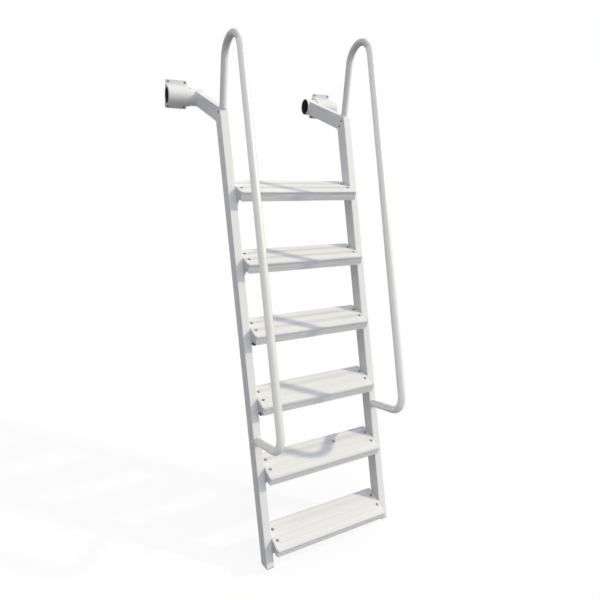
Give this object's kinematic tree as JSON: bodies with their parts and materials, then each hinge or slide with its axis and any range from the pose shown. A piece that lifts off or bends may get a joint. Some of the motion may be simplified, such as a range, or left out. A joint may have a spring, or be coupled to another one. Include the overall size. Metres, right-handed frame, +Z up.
{
  "type": "dock ladder",
  "caption": "Sloping flip-up dock ladder with wide treads, box-section stiles and arms, bent tube handrails and two pivot brackets for a dock face.",
  "frame": {"origin": "centre of the left dock bracket's flat back face, which bears on the dock's upright face", "axes": "+X to the right along the treads, +Y back into the dock, +Z up"},
  "size_m": [0.891, 1.4292, 2.0255],
  "materials": {
    "stile_paint": "white powder coat, satin",
    "tread_paint": "white powder coat, satin, ribbed",
    "rail_paint": "white powder coat, satin",
    "bracket_paint": "white powder coat, satin",
    "tube_paint": "white powder coat, satin",
    "end_bracket": "mill finish",
    "cap_plastic": "matt"
  },
  "bodies": {
    "dock_brackets": {"bracket_left": "bracket_paint", "bracket_right": "bracket_paint"},
    "ladder": {"arm_left": "stile_paint", "arm_right": "stile_paint", "foot_cap_left": "cap_plastic", "foot_cap_right": "cap_plastic", "handrail_left": "rail_paint", "handrail_right": "rail_paint", "pivot_tube_left": "tube_paint", "pivot_tube_right": "tube_paint", "stile_left": "stile_paint", "stile_right": "stile_paint", "tread_1": "tread_paint", "tread_2": "tread_paint", "tread_3": "tread_paint", "tread_4": "tread_paint", "tread_5": "tread_paint", "tread_6": "tread_paint", "tread_bracket_left_1": "end_bracket", "tread_bracket_left_2": "end_bracket", "tread_bracket_left_3": "end_bracket", "tread_bracket_left_4": "end_bracket", "tread_bracket_left_5": "end_bracket", "tread_bracket_left_6": "end_bracket", "tread_bracket_right_1": "end_bracket", "tread_bracket_right_2": "end_bracket", "tread_bracket_right_3": "end_bracket", "tread_bracket_right_4": "end_bracket", "tread_bracket_right_5": "end_bracket", "tread_bracket_right_6": "end_bracket"}
  },
  "joints": [
    {"name": "flip_up", "type": "hinge", "parent": "dock_brackets", "child": "ladder", "pos_m": [0.3935, -0.04298, 0], "axis": [-1, 0, 0], "range_deg": [0, 90]}
  ]
}
